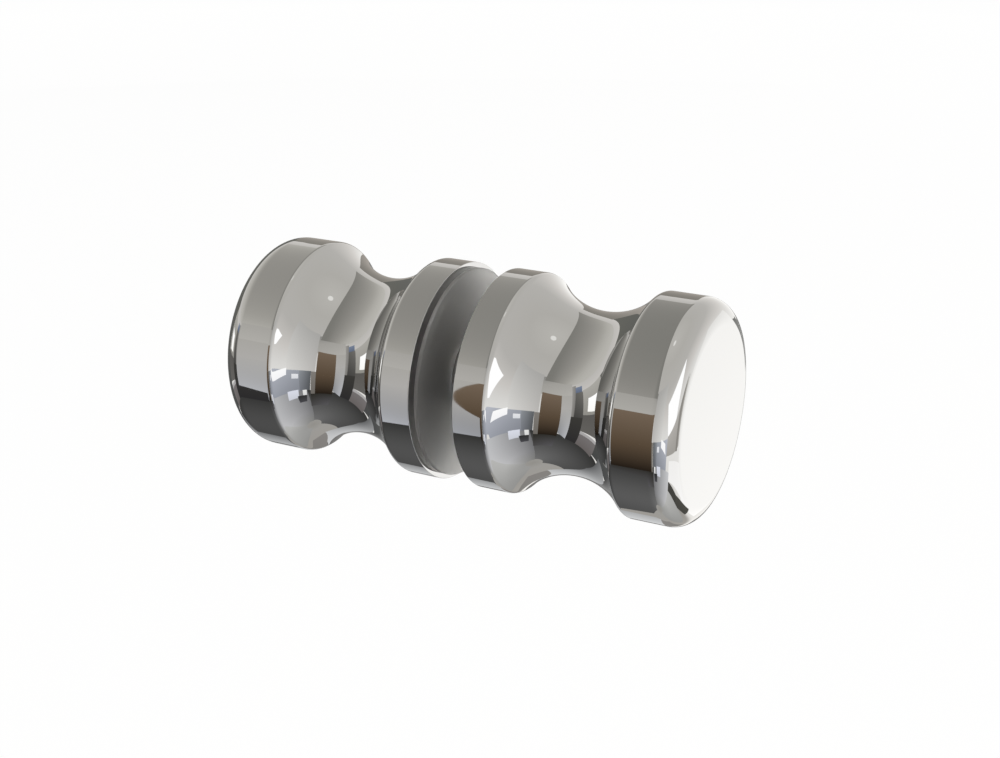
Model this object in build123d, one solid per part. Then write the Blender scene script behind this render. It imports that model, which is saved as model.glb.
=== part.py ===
from build123d import *

import math
import os

# Back-to-back knob pair for a frameless glass shower door. Millimetres.
# The origin is the middle of the door glass, on the axis of the hole drilled
# through it. +Y runs along that axis, from the outer knob to the inner knob,
# and +Z is up. Two turned knobs screw onto one stud and clamp the glass, with
# a flanged sleeve lining the hole and a thin washer under the inner knob.

# Door glass
GLASS_THICKNESS = 5.0

# Knobs, turned from bar: a band at the glass, a waisted neck and a head
KNOB_RADIUS = 16.0
BASE_BAND = 4.8
NECK_LENGTH = 18.2
NECK_RADIUS = 11.8
HEAD_LENGTH = 8.9
BASE_ROUND = 0.06
SHOULDER_ROUND = 1.05
FACE_ROUND = 3.4

# Thread shared by the stud and both knobs, drawn at its outer diameter
THREAD_RADIUS = 3.0
THREAD_CLEARANCE = 0.05
TAP_DRILL_RADIUS = 2.5
TAP_RUNOUT = 2.0
DRILL_RUNOUT = 2.5
DRILL_POINT_ANGLE = 118.0
MOUTH_CHAMFER = 0.5

# Stud, a headless screw with a hexagon socket in its outer end
STUD_LENGTH = 32.0
STUD_CHAMFER = 0.8
SOCKET_ACROSS_FLATS = 3.0
SOCKET_DEPTH = 3.5

# Flanged sleeve that keeps the metal off the glass
SLEEVE_RADIUS = 5.0
SLEEVE_BORE_CLEARANCE = 0.2
SLEEVE_END_GAP = 0.2
SLEEVE_CHAMFER = 0.4
FLANGE_RADIUS = 9.0
FLANGE_THICKNESS = 0.8
FLANGE_EDGE_ROUND = 0.15

# Washer between the glass and the inner knob, with a hub on its back
WASHER_SETBACK = 0.75
WASHER_THICKNESS = 0.6
WASHER_HUB_RADIUS = 13.5
WASHER_HUB_HEIGHT = 0.45
WASHER_BORE_CLEARANCE = 0.15

# Places along the axis that follow from the stack on each side of the glass
glass_outer_y = -GLASS_THICKNESS / 2
glass_inner_y = GLASS_THICKNESS / 2
outer_seat_y = glass_outer_y - FLANGE_THICKNESS
inner_seat_y = glass_inner_y + WASHER_THICKNESS + WASHER_HUB_HEIGHT
stud_end_y = STUD_LENGTH / 2


def disc_stack(steps):
    """Solid of revolution about Y from (radius, y) corners that start and end on the axis."""
    with BuildPart() as stack:
        with BuildSketch(Plane.XY):
            with BuildLine():
                Polyline(*steps, close=True)
            make_face()
        revolve(axis=Axis.Y)
    return stack.part


def knob_profile():
    """Half section of a knob in the XY plane, with its glass-side face at y = 0."""
    shoulder_low = BASE_BAND
    shoulder_high = BASE_BAND + NECK_LENGTH
    knob_length = shoulder_high + HEAD_LENGTH
    neck_middle = (shoulder_low + shoulder_high) / 2

    with BuildSketch(Plane.XY) as section:
        with BuildLine():
            Polyline(
                (KNOB_RADIUS, shoulder_high),
                (KNOB_RADIUS, knob_length),
                (0, knob_length),
                (0, 0),
                (KNOB_RADIUS, 0),
                (KNOB_RADIUS, shoulder_low),
            )
            ThreePointArc(
                (KNOB_RADIUS, shoulder_low),
                (NECK_RADIUS, neck_middle),
                (KNOB_RADIUS, shoulder_high),
            )
        make_face()
        rim = section.vertices().filter_by_position(Axis.X, KNOB_RADIUS / 2, 2 * KNOB_RADIUS)
        base_corner, low_corner, high_corner, face_corner = rim.sort_by(Axis.Y)
        fillet(face_corner, FACE_ROUND)
        fillet(base_corner, BASE_ROUND)
        fillet([low_corner, high_corner], SHOULDER_ROUND)
    return section.sketch


def tapped_hole(stud_depth):
    """Blind tapped hole as a solid to cut, opening at y = 0, for a stud that enters stud_depth."""
    thread = THREAD_RADIUS + THREAD_CLEARANCE
    tapped = stud_depth + TAP_RUNOUT
    drilled = tapped + DRILL_RUNOUT
    point = TAP_DRILL_RADIUS / math.tan(math.radians(DRILL_POINT_ANGLE / 2))
    return disc_stack(
        [
            (0, 0),
            (thread + MOUTH_CHAMFER, 0),
            (thread, MOUTH_CHAMFER),
            (thread, tapped),
            (TAP_DRILL_RADIUS, tapped),
            (TAP_DRILL_RADIUS, drilled),
            (0, drilled + point),
        ]
    )


def knob(stud_depth):
    """One knob, from its glass-side face at y = 0 out to its flat end."""
    return revolve(knob_profile(), axis=Axis.Y) - tapped_hole(stud_depth)


def make_inner_knob():
    return Pos(0, inner_seat_y, 0) * knob(stud_end_y - inner_seat_y)


def make_outer_knob():
    facing_out = Rot(0, 0, 180)
    return Pos(0, outer_seat_y, 0) * facing_out * knob(stud_end_y + outer_seat_y)


def make_glass_washer():
    """Thin disc on a smaller hub, which holds the disc's rim clear of the knob's base."""
    bore = SLEEVE_RADIUS + WASHER_BORE_CLEARANCE
    hub_y = glass_inner_y + WASHER_THICKNESS
    with BuildPart() as washer:
        with BuildSketch(Plane.XZ.offset(-glass_inner_y)):
            Circle(KNOB_RADIUS - WASHER_SETBACK)
            Circle(bore, mode=Mode.SUBTRACT)
        extrude(amount=-WASHER_THICKNESS)
        with BuildSketch(Plane.XZ.offset(-hub_y)):
            Circle(WASHER_HUB_RADIUS)
            Circle(bore, mode=Mode.SUBTRACT)
        extrude(amount=-WASHER_HUB_HEIGHT)
    return washer.part


def make_flanged_sleeve():
    """Bush with its flange under the outer knob and its barrel through the glass and the washer."""
    end = inner_seat_y - SLEEVE_END_GAP
    bore = THREAD_RADIUS + SLEEVE_BORE_CLEARANCE
    with BuildPart() as bush:
        with BuildSketch(Plane.XY):
            with BuildLine():
                Polyline(
                    (bore, outer_seat_y),
                    (FLANGE_RADIUS, outer_seat_y),
                    (FLANGE_RADIUS, glass_outer_y),
                    (SLEEVE_RADIUS, glass_outer_y),
                    (SLEEVE_RADIUS, end - SLEEVE_CHAMFER),
                    (SLEEVE_RADIUS - SLEEVE_CHAMFER, end),
                    (bore, end),
                    close=True,
                )
            make_face()
        revolve(axis=Axis.Y)
        rim_edges = bush.edges().filter_by(GeomType.CIRCLE).group_by(SortBy.RADIUS)[-1]
        fillet(rim_edges, FLANGE_EDGE_ROUND)
    return bush.part


def make_threaded_stud():
    """Stud with a chamfer at each end and a hexagon socket in the end under the outer knob."""
    body = disc_stack(
        [
            (0, -stud_end_y),
            (THREAD_RADIUS - STUD_CHAMFER, -stud_end_y),
            (THREAD_RADIUS, STUD_CHAMFER - stud_end_y),
            (THREAD_RADIUS, stud_end_y - STUD_CHAMFER),
            (THREAD_RADIUS - STUD_CHAMFER, stud_end_y),
            (0, stud_end_y),
        ]
    )
    outer_end = Plane.XZ.offset(stud_end_y)
    with BuildSketch(outer_end) as hexagon:
        RegularPolygon(SOCKET_ACROSS_FLATS / 2, 6, major_radius=False)
    socket = extrude(hexagon.sketch, amount=-SOCKET_DEPTH)
    return body - socket


PIECES = {
    "outer_knob": make_outer_knob,
    "inner_knob": make_inner_knob,
    "glass_washer": make_glass_washer,
    "flanged_sleeve": make_flanged_sleeve,
    "threaded_stud": make_threaded_stud,
}

os.makedirs("parts", exist_ok=True)
for name, make_piece in PIECES.items():
    export_step(make_piece(), f"parts/{name}.step")
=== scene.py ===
# %% [markdown]
# # A pair of knobs for a glass shower door
# Two turned brass knobs sit back to back on the door glass. Mirror chrome covers
# them, so almost everything that the eye sees is a reflection. The lesson turns
# each piece with Spin, which is Blender's lathe, and then builds a light tent
# with pale, dark and warm cards in it, as a photographer does for chrome.

import math

import bpy
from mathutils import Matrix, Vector


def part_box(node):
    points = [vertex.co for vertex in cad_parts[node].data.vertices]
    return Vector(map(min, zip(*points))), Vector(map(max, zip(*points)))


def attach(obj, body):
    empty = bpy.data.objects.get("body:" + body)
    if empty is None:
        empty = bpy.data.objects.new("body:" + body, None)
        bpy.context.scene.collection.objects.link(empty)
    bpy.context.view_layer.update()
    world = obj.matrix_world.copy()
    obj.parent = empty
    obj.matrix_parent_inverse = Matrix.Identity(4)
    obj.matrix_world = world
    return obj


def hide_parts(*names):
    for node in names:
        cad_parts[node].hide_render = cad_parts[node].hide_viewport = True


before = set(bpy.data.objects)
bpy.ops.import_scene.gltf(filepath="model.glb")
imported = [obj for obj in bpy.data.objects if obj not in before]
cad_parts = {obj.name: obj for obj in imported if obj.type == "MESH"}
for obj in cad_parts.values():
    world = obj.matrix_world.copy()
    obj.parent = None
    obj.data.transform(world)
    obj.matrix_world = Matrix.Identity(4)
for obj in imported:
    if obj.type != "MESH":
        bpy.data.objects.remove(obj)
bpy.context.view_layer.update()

# %% [markdown]
# ## Units and colours
# Drawings of hardware are in millimetres and Blender works in metres, so one
# function turns one into the other. Colours are picked on screen as hex codes,
# and a shader wants linear light, so a second function converts them.

# %% Millimetres and hex colours
def mm(value):
    """Metres from millimetres."""
    return value / 1000.0


def srgb(code):
    """Linear RGBA from a hex colour such as 8A8A88."""
    parts = [int(code[i:i + 2], 16) / 255.0 for i in (0, 2, 4)]
    linear = [c / 12.92 if c <= 0.04045 else ((c + 0.055) / 1.055) ** 2.4 for c in parts]
    return (*linear, 1.0)


# %% [markdown]
# ## From a drawing to a turned piece
# A lathe holds the bar while a tool follows an outline. Spin does the same: one
# chain of points is swept round the axis. A scaled cylinder would be quicker,
# but it gives no control of the rounds, and in a mirror finish each round shows.
# The chain starts as a plane that is merged to a point, and the point is then
# extruded from one place on the outline to the next.

# %% Spin an outline round the Y axis
def only(piece):
    """Makes this piece the only selected object, and the active one."""
    bpy.ops.object.select_all(action="DESELECT")
    piece.select_set(True)
    bpy.context.view_layer.objects.active = piece


MERGE_DISTANCE = mm(0.001)
SMOOTH_ANGLE = math.radians(20)  # a sharper edge than this is shaded as an edge


def turned(name, outline, steps):
    """A closed piece from (radius, y) points in millimetres, spun round Y."""
    start = Vector((mm(outline[0][0]), mm(outline[0][1]), 0.0))
    bpy.ops.object.select_all(action="DESELECT")
    bpy.ops.mesh.primitive_plane_add(size=mm(1), location=start)
    piece = bpy.context.object
    piece.name = piece.data.name = name
    bpy.ops.object.transform_apply(location=True, rotation=True, scale=True)
    bpy.ops.object.mode_set(mode="EDIT")
    bpy.ops.mesh.merge(type="CENTER")
    here = start
    for radius, y in outline[1:]:
        there = Vector((mm(radius), mm(y), 0.0))
        bpy.ops.mesh.extrude_region_move(TRANSFORM_OT_translate={"value": there - here})
        here = there
    bpy.ops.mesh.select_all(action="SELECT")
    bpy.ops.mesh.spin(steps=steps, angle=2 * math.pi, center=(0, 0, 0), axis=(0, 1, 0))
    bpy.ops.mesh.select_all(action="SELECT")
    bpy.ops.mesh.remove_doubles(threshold=MERGE_DISTANCE)
    bpy.ops.mesh.normals_make_consistent(inside=False)
    bpy.ops.object.mode_set(mode="OBJECT")
    bpy.ops.object.shade_smooth_by_angle(angle=SMOOTH_ANGLE)
    print(f"{name}: {len(piece.data.polygons)} faces")
    return piece


# %% Arcs and straights of an outline
def arc(centre, radius, first, last, count):
    """Points along an arc, with angles in degrees from the radius axis towards +Y."""
    turns = [math.radians(first + (last - first) * i / count) for i in range(count + 1)]
    return [(centre[0] + radius * math.cos(t), centre[1] + radius * math.sin(t)) for t in turns]


HOLD = 0.03  # how far in from each end of a straight its extra point lies


def straight(a, b):
    """Two points just inside the ends of a straight, which keep its shading flat."""
    near = HOLD / math.dist(a, b)
    return [tuple(p + (q - p) * t for p, q in zip(a, b)) for t in (near, 1.0 - near)]


# %% [markdown]
# ## The knob
# Each knob is a band against the glass, a waisted neck and a head with a
# generous round to its flat face. The neck is a single hollow arc that meets
# both bands in small rounds. The sizes repeat the drawing of the solid part.

# %% Sizes in millimetres
KNOB_RADIUS = 16.0
BASE_BAND = 4.8
NECK_LENGTH = 18.2
NECK_RADIUS = 11.8
HEAD_LENGTH = 8.9
BASE_ROUND = 0.06
SHOULDER_ROUND = 1.05
FACE_ROUND = 3.4
KNOB_LENGTH = BASE_BAND + NECK_LENGTH + HEAD_LENGTH
INNER_SEAT = 1000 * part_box("inner_knob")[0].y
OUTER_SEAT = 1000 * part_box("outer_knob")[1].y

# %% How finely each round is drawn
KNOB_STEPS = 192
BASE_POINTS = 6
SHOULDER_POINTS = 14
NECK_POINTS = 72
FACE_POINTS = 36

# %% Outline of the knob, with its glass-side face at y = 0
neck_middle = BASE_BAND + NECK_LENGTH / 2
dip = KNOB_RADIUS - NECK_RADIUS
neck_arc = ((NECK_LENGTH / 2) ** 2 + dip ** 2) / (2 * dip)
neck_centre = (NECK_RADIUS + neck_arc, neck_middle)
shoulder_r = KNOB_RADIUS - SHOULDER_ROUND
shoulder_gap = neck_centre[0] - shoulder_r
shoulder_off = math.sqrt((neck_arc + SHOULDER_ROUND) ** 2 - shoulder_gap ** 2)
shoulder_turn = math.degrees(math.atan2(shoulder_off, shoulder_gap))
low, high = neck_middle - shoulder_off, neck_middle + shoulder_off


def knob_outline(hole):
    """The hole's outline, then round the outside to the middle of the flat face."""
    rim = (KNOB_RADIUS - BASE_ROUND, BASE_ROUND)
    face = (KNOB_RADIUS - FACE_ROUND, KNOB_LENGTH - FACE_ROUND)
    return (
        hole
        + straight(hole[-1], (rim[0], 0.0))
        + arc(rim, BASE_ROUND, -90, 0, BASE_POINTS)
        + straight((KNOB_RADIUS, BASE_ROUND), (KNOB_RADIUS, low))
        + arc((shoulder_r, low), SHOULDER_ROUND, 0, shoulder_turn, SHOULDER_POINTS)
        + arc(neck_centre, neck_arc, 180 + shoulder_turn, 180 - shoulder_turn, NECK_POINTS)[1:-1]
        + arc((shoulder_r, high), SHOULDER_ROUND, -shoulder_turn, 0, SHOULDER_POINTS)
        + straight((KNOB_RADIUS, high), (KNOB_RADIUS, face[1]))
        + arc(face, FACE_ROUND, 0, 90, FACE_POINTS)
        + [(face[0] - HOLD, KNOB_LENGTH), (0.0, KNOB_LENGTH)]
    )


# %% [markdown]
# ## Threads
# The stud and both holes carry one M6 thread with a 1 mm pitch. A helix could
# be cut with Screw and a boolean, but that leaves ragged edges. The turned wall
# already has rings and columns of points, so each point is moved in or out by
# where it lies on the helix, which keeps the mesh whole.

# %% Cut a thread into a turned wall
PITCH = 1.0
THREAD_FLAT = PITCH / 16
THREAD_ANGLE = 60
FLANK_SLOPE = 1 / math.tan(math.radians(THREAD_ANGLE / 2))
ON_WALL = 0.001  # how exactly a point has to lie on the wall to be moved


def rings(first, last, count):
    """Evenly spaced places along the axis, with both ends."""
    return [first + (last - first) * i / count for i in range(count + 1)]


def cut_thread(piece, crest, root, wall, limit):
    """Moves the points of a wall of that radius to a right-hand thread about Y.

    crest and root are the radii at the thread's flat and farthest from it, and
    limit(radius, y) keeps a point inside the chamfers."""
    sink = math.copysign(1.0, crest - root)
    for v in piece.data.vertices:
        radius, y = 1000 * math.hypot(v.co.x, v.co.z), 1000 * v.co.y
        if abs(radius - wall) > ON_WALL:
            continue
        turn = math.atan2(v.co.x, v.co.z) / (2 * math.pi)
        along = abs((y / PITCH - turn + 0.5) % 1.0 - 0.5) * PITCH
        depth = min(abs(crest - root), FLANK_SLOPE * max(0.0, along - THREAD_FLAT))
        new = limit(crest - sink * depth, y)
        v.co.x *= new / radius
        v.co.z *= new / radius


# %% Hole of the knob: drill's point, tapped wall and chamfered mouth
HOLE_RADIUS = 3.05
TAP_DRILL_RADIUS = 2.5
MOUTH_CHAMFER = 0.5
TAPPED_DEPTH = 14.45
DRILLED_DEPTH = 16.95
DRILL_POINT_ANGLE = 118
DRILL_POINT = TAP_DRILL_RADIUS / math.tan(math.radians(DRILL_POINT_ANGLE / 2))
HOLE_RINGS = 114

hole = [
    (0.0, DRILLED_DEPTH + DRILL_POINT),
    (TAP_DRILL_RADIUS, DRILLED_DEPTH),
    (TAP_DRILL_RADIUS, TAPPED_DEPTH),
    *[(HOLE_RADIUS, y) for y in rings(TAPPED_DEPTH, MOUTH_CHAMFER, HOLE_RINGS)],
    (HOLE_RADIUS + MOUTH_CHAMFER, 0.0),
]

# %% [markdown]
# ## Two knobs from one
# The knob is turned once and copied. The outer one is turned half round, so its
# head points away from the glass, and its hole goes 0.25 mm deeper because less
# lies between it and the glass.

# %% Turn, copy and place
def place(piece, y, half_turn=False):
    """Moves a piece along the axis and writes the move into its mesh."""
    only(piece)
    piece.rotation_euler[2] = math.pi if half_turn else 0.0
    piece.location.y = mm(y)
    bpy.ops.object.transform_apply(location=True, rotation=True, scale=True)


OUTER_EXTRA_DEPTH = 0.25
CLEAR = 0.01  # margin for picking the points of the hole
inner_knob = turned("inner_knob_chrome", knob_outline(hole), KNOB_STEPS)
only(inner_knob)
bpy.ops.object.duplicate(linked=False)
outer_knob = bpy.context.object
outer_knob.name = outer_knob.data.name = "outer_knob_chrome"

for v in outer_knob.data.vertices:
    radius, y = 1000 * math.hypot(v.co.x, v.co.z), 1000 * v.co.y
    if radius < HOLE_RADIUS + CLEAR and MOUTH_CHAMFER < y < KNOB_LENGTH - CLEAR:
        share = min(1.0, (y - MOUTH_CHAMFER) / (TAPPED_DEPTH - MOUTH_CHAMFER))
        v.co.y += mm(OUTER_EXTRA_DEPTH) * share

place(inner_knob, INNER_SEAT)
place(outer_knob, OUTER_SEAT, half_turn=True)


def clear_mouth(radius, y):
    """Keeps the thread behind the chamfer at each knob's mouth."""
    depth = y - INNER_SEAT if y > 0 else OUTER_SEAT - y
    return max(radius, HOLE_RADIUS + MOUTH_CHAMFER - depth)


for knob in (inner_knob, outer_knob):
    cut_thread(knob, HOLE_RADIUS, TAP_DRILL_RADIUS, HOLE_RADIUS, clear_mouth)

# %% [markdown]
# ## The stud
# A headless screw joins the knobs, and a 3 mm hexagon socket in its outer end
# takes the key that drives it. It is turned with a round socket, whose wall is
# then pressed out to six flats.

# %% Turn the stud, cut its thread and press its socket
STUD_RADIUS = 3.0
STUD_END = 16.0
STUD_CHAMFER = 0.8
STUD_ROOT = 2.39
SOCKET_FLAT = 1.5
SOCKET_DEPTH = 3.5
STUD_STEPS = 72
STUD_RINGS = 304
HEXAGON_SIDE = math.radians(60)
socket_floor = SOCKET_DEPTH - STUD_END
thread_start, thread_end = STUD_CHAMFER - STUD_END, STUD_END - STUD_CHAMFER

stud = turned(
    "stud_threaded",
    [
        (0.0, socket_floor),
        (SOCKET_FLAT, socket_floor),
        (SOCKET_FLAT, -STUD_END),
        (STUD_RADIUS - STUD_CHAMFER, -STUD_END),
        *[(STUD_RADIUS, y) for y in rings(thread_start, thread_end, STUD_RINGS)],
        (STUD_RADIUS - STUD_CHAMFER, STUD_END),
        (0.0, STUD_END),
    ],
    STUD_STEPS,
)


def clear_ends(radius, y):
    """Keeps the thread inside the chamfer at each end of the stud."""
    return min(radius, STUD_RADIUS - STUD_CHAMFER + STUD_END - abs(y))


cut_thread(stud, STUD_RADIUS, STUD_ROOT, STUD_RADIUS, clear_ends)
for v in stud.data.vertices:
    radius = 1000 * math.hypot(v.co.x, v.co.z)
    if abs(radius - SOCKET_FLAT) < ON_WALL:
        turn = math.atan2(v.co.z, v.co.x) % HEXAGON_SIDE - HEXAGON_SIDE / 2
        v.co.x /= math.cos(turn)
        v.co.z /= math.cos(turn)

# %% [markdown]
# ## The washer and the sleeve
# Metal never touches the glass. A thin washer lies under the inner knob, and a
# top-hat sleeve lines the hole with its flange under the outer knob. The washer
# stands on a smaller hub, so a dark slot runs round behind its rim. Both pieces
# are moulded, so the edges in sight have a tiny round, which catches the light.
# The hub stops a hundredth of a millimetre short of the knob, so that the two
# faces don't flicker through each other.

# %% Turn the washer
GLASS_HALF = 2.5
WASHER_RADIUS = 15.25
WASHER_BACK = 3.1
WASHER_HUB = 13.5
WASHER_BORE = 5.15
WASHER_EDGE = 0.1
WASHER_LIFT = 0.01
EDGE_POINTS = 5

washer = turned(
    "glass_washer_moulded",
    [
        (WASHER_BORE, GLASS_HALF + WASHER_EDGE),
        (WASHER_BORE + WASHER_EDGE, GLASS_HALF),
        *arc((WASHER_RADIUS - WASHER_EDGE, GLASS_HALF + WASHER_EDGE), WASHER_EDGE, -90, 0, EDGE_POINTS),
        *arc((WASHER_RADIUS - WASHER_EDGE, WASHER_BACK - WASHER_EDGE), WASHER_EDGE, 0, 90, EDGE_POINTS),
        (WASHER_HUB, WASHER_BACK),
        (WASHER_HUB, INNER_SEAT - WASHER_LIFT),
        (WASHER_BORE, INNER_SEAT - WASHER_LIFT),
        (WASHER_BORE, GLASS_HALF + WASHER_EDGE),
    ],
    KNOB_STEPS,
)

# %% The sleeve's outline follows its flange, its barrel and its lead-in
SLEEVE_RADIUS = 5.0
SLEEVE_BORE = 3.2
SLEEVE_END = 3.35
SLEEVE_CHAMFER = 0.4
FLANGE_RADIUS = 9.0
FLANGE_ROUND = 0.15
MOULD_ROUND = 0.06
SLEEVE_STEPS = 96
flange_rim = FLANGE_RADIUS - FLANGE_ROUND

sleeve = turned(
    "sleeve_moulded",
    [
        (SLEEVE_BORE + MOULD_ROUND, OUTER_SEAT),
        *arc((flange_rim, OUTER_SEAT + FLANGE_ROUND), FLANGE_ROUND, -90, 0, EDGE_POINTS),
        *arc((flange_rim, -GLASS_HALF - FLANGE_ROUND), FLANGE_ROUND, 0, 90, EDGE_POINTS),
        (SLEEVE_RADIUS + MOULD_ROUND, -GLASS_HALF),
        (SLEEVE_RADIUS, MOULD_ROUND - GLASS_HALF),
        (SLEEVE_RADIUS, SLEEVE_END - SLEEVE_CHAMFER),
        (SLEEVE_RADIUS - SLEEVE_CHAMFER, SLEEVE_END),
        (SLEEVE_BORE + MOULD_ROUND, SLEEVE_END),
        (SLEEVE_BORE, SLEEVE_END - MOULD_ROUND),
        (SLEEVE_BORE, OUTER_SEAT + MOULD_ROUND),
        (SLEEVE_BORE + MOULD_ROUND, OUTER_SEAT),
    ],
    SLEEVE_STEPS,
)

# %% [markdown]
# ## Materials
# Each finish starts from what the real one is and how its surface was made. One
# small function adds a node with its settings and its links.

# %% Adding nodes
def add(tree, kind, links=(), **settings):
    """A node of that kind. Settings that name an input go to it, and others to the node."""
    made = tree.nodes.new(kind)
    for name, value in settings.items():
        title = name.replace("_", " ").title() if name[0].islower() else name.replace("_", " ")
        if title in made.inputs:
            made.inputs[title].default_value = value
        else:
            setattr(made, name, value)
    for source, socket in links:
        tree.links.new(source, made.inputs[socket])
    return made


def start_material(name):
    """A new material with an empty tree, its output and its place on the object in metres."""
    material = bpy.data.materials.new(name)
    material.use_nodes = True
    tree = material.node_tree
    tree.nodes.clear()
    output = add(tree, "ShaderNodeOutputMaterial")
    where = add(tree, "ShaderNodeTexCoord").outputs["Object"]
    return material, tree, output, where


# %% [markdown]
# ### Chrome plate on polished brass
# Bright chrome is a true mirror, a little darker than silver. Two things tell
# it from a perfect one: a wave of a few millimetres that polishing leaves, and
# a faint haze where a cloth has wiped it. Both are too weak to see as texture,
# so they only soften and bend the reflections.

# %% Chrome plate
chrome_plate, tree, output, where = start_material("chrome_plate_on_brass")
haze = add(tree, "ShaderNodeTexNoise", [(where, "Vector")], scale=1 / mm(6), detail=3.0)
haze_rough = add(
    tree, "ShaderNodeMapRange", [(haze.outputs["Fac"], "Value")],
    From_Min=0.35, From_Max=0.7, To_Min=0.012, To_Max=0.035,
)
wave = add(tree, "ShaderNodeTexNoise", [(where, "Vector")], scale=1 / mm(9), detail=1.0)
wave_bump = add(
    tree, "ShaderNodeBump", [(wave.outputs["Fac"], "Height")], strength=0.12, distance=mm(0.02),
)
chrome = add(
    tree, "ShaderNodeBsdfPrincipled",
    [(haze_rough.outputs["Result"], "Roughness"), (wave_bump.outputs["Normal"], "Normal")],
    base_color=srgb("C4C4C4"), metallic=1.0,
)
tree.links.new(chrome.outputs["BSDF"], output.inputs["Surface"])

# %% [markdown]
# ### Frosted vinyl of the washer
# The washer is soft clear vinyl, moulded between satin steel plates. It lets
# light through to the chrome behind it, so it looks like a dull mirror. The
# plates leave an even grain of a third of a millimetre, and the vinyl is
# slightly cloudy in patches.

# %% Washer vinyl
washer_vinyl, tree, output, where = start_material("frosted_clear_vinyl")
cloud = add(tree, "ShaderNodeTexNoise", [(where, "Vector")], scale=1 / mm(5), detail=2.0)
tint = add(tree, "ShaderNodeValToRGB", [(cloud.outputs["Fac"], "Fac")])
tint.color_ramp.elements[0].position, tint.color_ramp.elements[1].position = 0.3, 0.7
tint.color_ramp.elements[0].color = srgb("F4F3F1")
tint.color_ramp.elements[1].color = srgb("FCFCFB")
grain = add(tree, "ShaderNodeTexNoise", [(where, "Vector")], scale=1 / mm(0.35), detail=2.0)
grain_bump = add(
    tree, "ShaderNodeBump", [(grain.outputs["Fac"], "Height")], strength=0.15, distance=mm(0.01),
)
vinyl = add(
    tree, "ShaderNodeBsdfPrincipled",
    [(tint.outputs["Color"], "Base Color"), (grain_bump.outputs["Normal"], "Normal")],
    roughness=0.36, IOR=1.5, transmission_weight=0.97,
)
tree.links.new(vinyl.outputs["BSDF"], output.inputs["Surface"])

# %% [markdown]
# ### Grey nylon of the sleeve
# Nylon dyed a plain mid grey has a silky shine. The mould leaves fine flow
# marks along the barrel, so the grain is stretched along the axis.

# %% Sleeve nylon
sleeve_nylon, tree, output, where = start_material("grey_nylon")
along = add(tree, "ShaderNodeMapping", [(where, "Vector")], scale=(1.0, 0.15, 1.0))
flow = add(
    tree, "ShaderNodeTexNoise", [(along.outputs["Vector"], "Vector")], scale=1 / mm(0.6), detail=2.0,
)
flow_tint = add(tree, "ShaderNodeValToRGB", [(flow.outputs["Fac"], "Fac")])
flow_tint.color_ramp.elements[0].color = srgb("6C6B69")
flow_tint.color_ramp.elements[1].color = srgb("787775")
flow_bump = add(
    tree, "ShaderNodeBump", [(flow.outputs["Fac"], "Height")], strength=0.2, distance=mm(0.01),
)
nylon = add(
    tree, "ShaderNodeBsdfPrincipled",
    [(flow_tint.outputs["Color"], "Base Color"), (flow_bump.outputs["Normal"], "Normal")],
    roughness=0.38, IOR=1.53,
)
tree.links.new(nylon.outputs["BSDF"], output.inputs["Surface"])

# %% [markdown]
# ### Zinc plate on the stud
# The thread is rolled steel with bright zinc, which is a soft silver with a
# hint of blue. The rolls leave fine lines round the axis, and the plating makes
# small patches shine more than others.

# %% Stud zinc
stud_zinc, tree, output, where = start_material("bright_zinc_plate")
round_axis = add(tree, "ShaderNodeMapping", [(where, "Vector")], scale=(0.3, 3.0, 0.3))
lines = add(
    tree, "ShaderNodeTexNoise", [(round_axis.outputs["Vector"], "Vector")],
    scale=1 / mm(0.4), detail=2.0,
)
patch = add(tree, "ShaderNodeTexNoise", [(where, "Vector")], scale=1 / mm(2), detail=2.0)
zinc_tint = add(tree, "ShaderNodeValToRGB", [(patch.outputs["Fac"], "Fac")])
zinc_tint.color_ramp.elements[0].color = srgb("B4B7BA")
zinc_tint.color_ramp.elements[1].color = srgb("CFD1D2")
zinc_rough = add(
    tree, "ShaderNodeMapRange", [(patch.outputs["Fac"], "Value")],
    From_Min=0.3, From_Max=0.7, To_Min=0.22, To_Max=0.36,
)
line_bump = add(
    tree, "ShaderNodeBump", [(lines.outputs["Fac"], "Height")], strength=0.2, distance=mm(0.01),
)
zinc = add(
    tree, "ShaderNodeBsdfPrincipled",
    [
        (zinc_tint.outputs["Color"], "Base Color"),
        (zinc_rough.outputs["Result"], "Roughness"),
        (line_bump.outputs["Normal"], "Normal"),
    ],
    metallic=1.0,
)
tree.links.new(zinc.outputs["BSDF"], output.inputs["Surface"])

# %% [markdown]
# ## Each piece takes its finish and its place in the frame
# A piece says which solid it stands for, which body it rides on and which slot
# of the record its finish comes from.

# %% Dress the pieces
DRESS = (
    (outer_knob, "outer_knob", "polished_chrome", chrome_plate),
    (inner_knob, "inner_knob", "polished_chrome", chrome_plate),
    (washer, "glass_washer", "washer_plastic", washer_vinyl),
    (sleeve, "flanged_sleeve", "sleeve_plastic", sleeve_nylon),
    (stud, "threaded_stud", "stud_steel", stud_zinc),
)
for piece, node, slot, material in DRESS:
    piece.data.materials.clear()
    piece.data.materials.append(material)
    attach(piece, "root")
    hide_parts(node)

# %% [markdown]
# ## Camera
# The camera looks down at the outer knob from the left, with a lens a little
# longer than normal.

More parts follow.
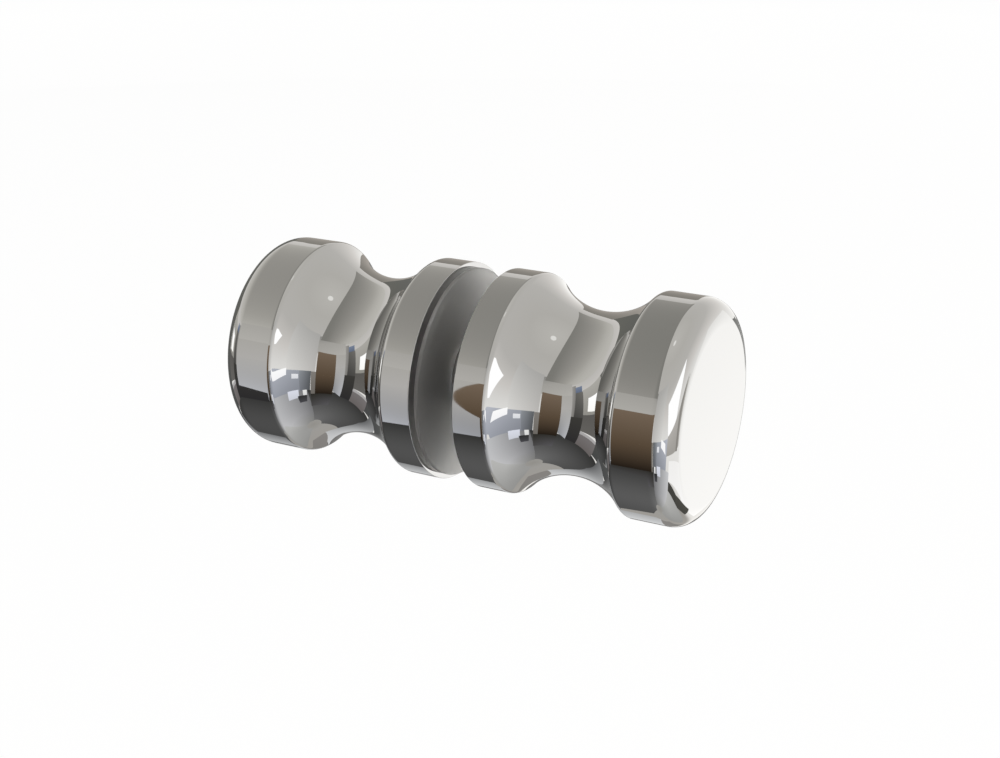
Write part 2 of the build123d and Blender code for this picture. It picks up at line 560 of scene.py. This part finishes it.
# %% Camera
CAMERA_AZIMUTH = math.radians(-63.114)
CAMERA_ELEVATION = math.radians(20.868)
CAMERA_DISTANCE = mm(231.03)
CAMERA_LENS = 57.596
AIM_ALONG_AXIS = mm(-3.0)
AIM_LEFT = mm(0.398)
AIM_DOWN = mm(0.163)
look = Vector((
    -math.sin(CAMERA_AZIMUTH) * math.cos(CAMERA_ELEVATION),
    math.cos(CAMERA_AZIMUTH) * math.cos(CAMERA_ELEVATION),
    -math.sin(CAMERA_ELEVATION),
))
right = look.cross(Vector((0, 0, 1))).normalized()
up = right.cross(look)
aim = Vector((0.0, AIM_ALONG_AXIS, 0.0)) - AIM_LEFT * right - AIM_DOWN * up
bpy.ops.object.camera_add(location=aim - CAMERA_DISTANCE * look)
camera = bpy.context.object
camera.rotation_euler = look.to_track_quat("-Z", "Y").to_euler()
camera.data.lens = CAMERA_LENS
camera.data.clip_start = mm(10)
bpy.context.scene.camera = camera

# %% [markdown]
# ## Floor and background
# The floor is white paper that runs far behind the object. Light Path gives the
# camera plain white paper, of which a small share stays lit to keep the shadow.
# The world does the same for what lies beyond the paper.

# %% White paper and a white world
def seen_directly(tree):
    """1 for rays from the camera, a mirror or clear glass, and 0 for soft light."""
    path = add(tree, "ShaderNodeLightPath")
    first = add(
        tree, "ShaderNodeMath",
        [(path.outputs["Is Camera Ray"], 0), (path.outputs["Is Glossy Ray"], 1)], operation="MAXIMUM",
    )
    both = add(
        tree, "ShaderNodeMath",
        [(first.outputs[0], 0), (path.outputs["Is Transmission Ray"], 1)], operation="MAXIMUM",
    )
    return both.outputs[0]


PAPER_SIZE = 8.0
PAPER_DROP = 0.35
PAPER_GLOW = 0.97
bpy.ops.mesh.primitive_plane_add(size=PAPER_SIZE, location=(0, 0, -PAPER_DROP))
floor = bpy.context.object
floor.name = "paper_floor"
floor.visible_diffuse = floor.visible_glossy = floor.visible_transmission = False
paper, tree, output, _ = start_material("white_paper")
paper_share = add(tree, "ShaderNodeMath", [(seen_directly(tree), 0)], operation="MULTIPLY")
paper_share.inputs[1].default_value = PAPER_GLOW
lit = add(tree, "ShaderNodeBsdfDiffuse", color=srgb("F4F4F2"))
glow = add(tree, "ShaderNodeEmission", color=srgb("FFFFFF"), strength=1.0)
blend = add(
    tree, "ShaderNodeMixShader",
    [(paper_share.outputs[0], 0), (lit.outputs[0], 1), (glow.outputs[0], 2)],
)
tree.links.new(blend.outputs[0], output.inputs["Surface"])
floor.data.materials.append(paper)

WORLD_LEVEL = 0.55
world = bpy.data.worlds.new("pale_studio")
bpy.context.scene.world = world
world.use_nodes = True
tree = world.node_tree
tree.nodes.clear()
soft = add(tree, "ShaderNodeBackground", color=srgb("F2F1EE"), strength=WORLD_LEVEL)
white = add(tree, "ShaderNodeBackground", color=srgb("FFFFFF"), strength=1.0)
blend = add(
    tree, "ShaderNodeMixShader",
    [(seen_directly(tree), 0), (soft.outputs[0], 1), (white.outputs[0], 2)],
)
add(tree, "ShaderNodeOutputWorld", [(blend.outputs[0], "Surface")])

# %% [markdown]
# ## A tent and cards for the chrome
# A mirror has no look of its own, so the photographer builds one. A pale tent
# surrounds the object, and cards in it give the chrome its dark lines, bright
# patches and one warm board. The camera doesn't see them. A card is placed by
# compass directions as seen from the object, with 0 along +Y and 90 along +X,
# and its colour is the one that the chrome shows, so it shines brighter than
# that by what the chrome swallows.

# %% Cards on a sphere round the object
TENT_RADIUS = 3.0
CHROME_GAIN = 1 / srgb("C4C4C4")[0]
CARD_STEPS = 14
CARD_SPACING = 0.02

card_light, tree, output, _ = start_material("card_light")
shade = add(tree, "ShaderNodeAttribute", attribute_name="shade")
glow = add(tree, "ShaderNodeEmission", [(shade.outputs["Color"], "Color")], strength=CHROME_GAIN)
tree.links.new(glow.outputs[0], output.inputs["Surface"])


def toward(azimuth, elevation, distance):
    """The place that far away in a compass direction, with both angles in degrees."""
    a, e = math.radians(azimuth), math.radians(elevation)
    return distance * Vector((math.sin(a) * math.cos(e), math.cos(a) * math.cos(e), math.sin(e)))


def between(levels, height):
    """Linear colour at a height in degrees, from (height, hex) pairs that go down."""
    for (high_at, high_code), (low_at, low_code) in zip(levels, levels[1:]):
        if height >= low_at:
            share = min(1.0, (height - low_at) / (high_at - low_at))
            a, b = srgb(high_code), srgb(low_code)
            return [q + (p - q) * share for p, q in zip(a, b)]
    return srgb(levels[-1][1])


def inside(four, across, up_share):
    """Blend of four tuples, clockwise from top left, at a share across and a share up."""
    top = [p + (q - p) * across for p, q in zip(four[0], four[1])]
    bottom = [p + (q - p) * across for p, q in zip(four[3], four[2])]
    return [p + (q - p) * up_share for p, q in zip(bottom, top)]


def make_card(obj, name, colours):
    """Gives a stage mesh its colours, one for each vertex, and hides it from the camera."""
    obj.name = obj.data.name = name
    attribute = obj.data.color_attributes.new("shade", "FLOAT_COLOR", "POINT")
    for i, colour in enumerate(colours):
        attribute.data[i].color = colour
    obj.data.materials.append(card_light)
    obj.visible_camera = False
    obj.visible_shadow = obj.visible_volume_scatter = False


# %% The tent
TENT_SHADES = (
    (90, "B4B2AD"), (60, "ACAAA5"), (30, "B0AEAA"), (10, "C6C3BF"), (-5, "D4D3D0"), (-20, "E0DFDC"),
    (-41, "D8D6D2"), (-45, "96938E"), (-60, "96938E"), (-80, "9A9894"), (-90, "908E89"),
)


def height_angle(v):
    """Degrees above the horizon of a point on the tent."""
    return math.degrees(math.asin(max(-1, min(1, v.co.z / TENT_RADIUS))))


bpy.ops.object.select_all(action="DESELECT")
bpy.ops.mesh.primitive_uv_sphere_add(segments=48, ring_count=90, radius=TENT_RADIUS)
tent = bpy.context.object
make_card(tent, "tent", [between(TENT_SHADES, height_angle(v)) for v in tent.data.vertices])

# %% The overhead board, lighter away from the object
# Its sides and its slanted near edge are given for a board 1 m up.
BOARD_HEIGHT = 1.2
BOARD_LEFT = -1.78
BOARD_WIDTH = 3.45
BOARD_FAR = 2.3
BOARD_NEAR = 0.231
BOARD_SLANT = 0.13
BOARD_SHADES = (
    (BOARD_FAR, "B6B4AE"), (1.6, "B0AEA8"), (1.3, "A9A7A1"),
    (1.0, "9B9993"), (0.6, "8A8883"), (0.25, "787772"),
)
bpy.ops.object.select_all(action="DESELECT")
bpy.ops.mesh.primitive_grid_add(x_subdivisions=8, y_subdivisions=24, size=1.0)
board = bpy.context.object
colours = []
for v in board.data.vertices:
    x = BOARD_LEFT + (v.co.x + 0.5) * BOARD_WIDTH
    near_edge = BOARD_NEAR + BOARD_SLANT * x
    y = near_edge + (v.co.y + 0.5) * (BOARD_FAR - near_edge)
    v.co = Vector((x, y, 1.0)) * BOARD_HEIGHT
    colours.append(between(BOARD_SHADES, y))
make_card(board, "overhead_board", colours)

# %% A small round lamp near the top of the tent
LAMP_DISTANCE = 2.0
LAMP_HALF_ANGLE = 3.3
LAMP_RADIUS = LAMP_DISTANCE * math.tan(math.radians(LAMP_HALF_ANGLE))
LAMP_POINTS = 32
lamp_place = toward(245, 86, LAMP_DISTANCE)
bpy.ops.object.select_all(action="DESELECT")
bpy.ops.mesh.primitive_circle_add(
    vertices=LAMP_POINTS, radius=LAMP_RADIUS, fill_type="NGON", location=lamp_place,
)
round_lamp = bpy.context.object
round_lamp.rotation_euler = lamp_place.to_track_quat("Z", "Y").to_euler()
make_card(round_lamp, "round_lamp", [srgb("D9D8D4")] * LAMP_POINTS)

# %% [markdown]
# ### The cards
# A card has a name, four corners as (azimuth, elevation) clockwise from top
# left, and a shade for its top and its bottom, or one for each corner. A later
# card hangs in front of an earlier one. Azimuths past 360 carry on round.

# %% The cards, placed and shaded
CARDS = (
    ("softbox_large", ((166, 26), (215, 16), (203, -11), (171, -11)), "FFFFFF FFFFFF"),
    ("low_grey", ((140, -6), (203, -11), (203, -25), (140, -22)), "B0ADA8 9E9B96"),
    ("low_dark", ((145, -3), (157, -7), (157, -23), (147, -23)), "8C8984 84817C"),
    ("bright_side", ((104, 3), (128, 3), (132, -37), (104, -38)), "DBDAD7 F1F0EE"),
    ("small_dark", ((92, -10), (103, -11), (104, -20), (92, -19)), "6B6B69 8A8A88"),
    ("low_white", ((128, -25), (190, -28), (188, -43), (122, -34)), "EFEEEC F2F1F0"),
    ("low_flag_a", ((116, -33), (150, -42), (150, -54), (118, -44)), "4A4944 44433F"),
    ("low_flag_b", ((150, -42), (188, -43), (186, -52), (150, -54)), "42413D 42413D"),
    ("side_card", ((226, 40), (268, 36), (268, -12), (230, -12)), "ACABA8 A5A4A1 B7B5B2 D6D5D2"),
    ("side_ramp", ((268, 34), (311, 36.5), (311, 30), (268, 24)), "848380 8B8986 A19F9A 9D9B96"),
    ("side_pale", ((268, 24), (311, 30), (311, 12), (268, 12)), "9D9B96 A19F9A AFADA8 A5A39E"),
    ("blue_card", ((203, -12), (247, -11.6), (247, -37), (203, -37)), "B6B9C2 969AA2 82858D 989CA5"),
    ("blue_dark", ((247, -11.6), (263, -11.6), (262, -37), (247, -37)), "8B8F94 5A5D60 4E5053 74777E"),
    ("slant_white", ((212, -15), (230, -10), (230, -17), (208, -24)), "FAFAFA F4F4F6"),
    ("small_white", ((237, -16), (246, -16), (246, -21.3), (237, -21.3)), "E2E3E6 D8DADF"),
    ("ground_left", ((96, -50), (189, -51.5), (189, -68), (96, -68)), "8C8C8A B6B6B4 B4B4B2 8E8E8C"),
    ("ground_left_low", ((96, -68), (189, -68), (189, -84), (96, -84)), "8E8E8C B4B4B2 949492 979795"),
    ("ground_light", ((188, -36), (262, -37), (266, -68), (188, -68)), "C6C7C9 626264 767678 BABABC"),
    ("ground_light_low", ((188, -68), (266, -68), (270, -84), (188, -84)), "BABABC 767678 7E7E7C 949492"),
    ("ground_white", ((229, -35), (245, -35), (244, -45), (227, -45)), "D8DBE6 CACDD6"),
    ("ground_black", ((242, -43), (257, -43), (256, -52), (243, -52)), "2E2E2E 46464A"),
    ("ground_small", ((251, -36), (257, -36), (257, -43), (251, -43)), "E4E4E2 D8D8D8"),
    ("dark_ground", ((258, -36.5), (432, -39.5), (378, -83), (270, -83)), "313130 313130 5A5A5A 6E6E6E"),
    ("dark_corner", ((263, -40), (298, -40), (298, -58), (263, -60)), "26241E 302F2C 565558 484747"),
    ("grey_strip", ((263, -12), (270, -12), (270, -42), (263, -42)), "7E7A75 6C6863"),
    ("warm_board_top", ((269.5, 14.5), (296.4, 12), (296.8, -16), (269.5, -16)), "706152 564839"),
    ("warm_board_low", ((269.5, -16), (296.8, -16), (297.2, -41), (269.5, -42)), "564839 231C16"),
    ("pale_strip", ((296.0, 12), (311, 12), (311, -4), (296.4, -4)), "A7A5A0 ACAAA7"),
    ("pale_strip_low", ((296.4, -4), (311, -4), (311, -41), (297.2, -36)), "ACAAA7 A9A8A5 B1B3B9 84868A"),
    ("strip_side", ((311, 22), (316.5, 22), (315.5, -12), (311, -12)), "979591 807E7B 6F6D6A 8E8C88"),
    ("black_flag", ((311, -12), (330, -12), (329, -41), (311, -41)), "3A3936 2C2B2C"),
    ("grey_flag", ((316, 14), (327, 14), (330, -12), (315, -12)), "605F5B 6E6C68 4A4947 42413F"),
    ("blue_strip", ((316, 20), (326, 20), (326, 14), (316, 14)), "747F94 606A7E"),
    ("halo", ((327, 15), (357, 16), (357, -9), (329, -9)), "A8A6A0 8F8D87"),
    ("softbox_small", ((336, 5.5), (351, 5.5), (351, -7), (336, -6)), "FFFFFF FAF9F4"),
    ("front_dark", ((329, -9), (362, -9), (362, -25), (329, -25)), "5A5855 62605D"),
    ("front_line", ((329, -25), (362, -27), (362, -29), (329, -28)), "A8A6A6 A4A2A2"),
    ("front_grey", ((329, -28), (362, -29), (362, -41), (329, -41)), "726E6E 645F5E"),
    ("olive_board", ((357, 16), (417, 17), (417, -34), (362, -38)), "5F5F5A 444545"),
    ("grey_board", ((415, 18), (434, 18), (434, -12), (415, -14)), "77746E 8A857F"),
    ("far_ground", ((400, -22), (432, -22), (432, -40), (402, -37)), "444443 9C9C9C A0A0A0 464645"),
    ("pale_ramp", ((429, -38), (422, -65), (381, -50), (374, -34)), "B5B6B7 5C5D5E"),
    ("behind", ((417, -12), (452, -12), (448, -38), (417, -38)), "6C6B69 626160"),
    ("ground_grey", ((429, -40), (446, -44), (446, -64), (422, -64)), "74726F 807D7A"),
)
for rank, (name, corners, codes) in enumerate(CARDS):
    bpy.ops.object.select_all(action="DESELECT")
    bpy.ops.mesh.primitive_grid_add(x_subdivisions=CARD_STEPS, y_subdivisions=CARD_STEPS, size=1.0)
    card = bpy.context.object
    distance = TENT_RADIUS - CARD_SPACING * (rank + 1)
    shades = [srgb(code) for code in codes.split()]
    if len(shades) == 2:
        shades = [shades[0], shades[0], shades[1], shades[1]]
    colours = []
    for v in card.data.vertices:
        across, up_share = v.co.x + 0.5, v.co.y + 0.5
        azimuth, elevation = inside(corners, across, up_share)
        v.co = toward(azimuth, elevation, distance)
        colours.append(inside(shades, across, up_share))
    make_card(card, "card_" + name, colours)
print(len(CARDS), "cards")

# %% [markdown]
# ## Soft lamps
# The tent lights the plastic pieces too, but softly from all round. Two large
# weak lamps above and to the left give them a light side. The mirror doesn't
# see the lamps, because it already has its tent.

# %% Lamps
def soft_lamp(name, azimuth, elevation, distance, size, power):
    """A round area lamp in a compass direction, in metres and watts, that no mirror sees."""
    place_at = toward(azimuth, elevation, distance)
    bpy.ops.object.light_add(type="AREA", location=place_at)
    lamp = bpy.context.object
    lamp.name = name
    lamp.data.shape = "DISK"
    lamp.data.size = size
    lamp.data.energy = power
    lamp.rotation_euler = (-place_at).to_track_quat("-Z", "Y").to_euler()
    lamp.visible_glossy = False


soft_lamp("lamp_above", azimuth=-60.0, elevation=70.0, distance=1.2, size=0.9, power=7.0)
soft_lamp("lamp_front", azimuth=-150.0, elevation=25.0, distance=1.2, size=0.7, power=3.5)

# %% [markdown]
# ## Last lines
# The view transform is set to Standard.

# %% Finish
bpy.context.scene.view_settings.view_transform = "Standard"
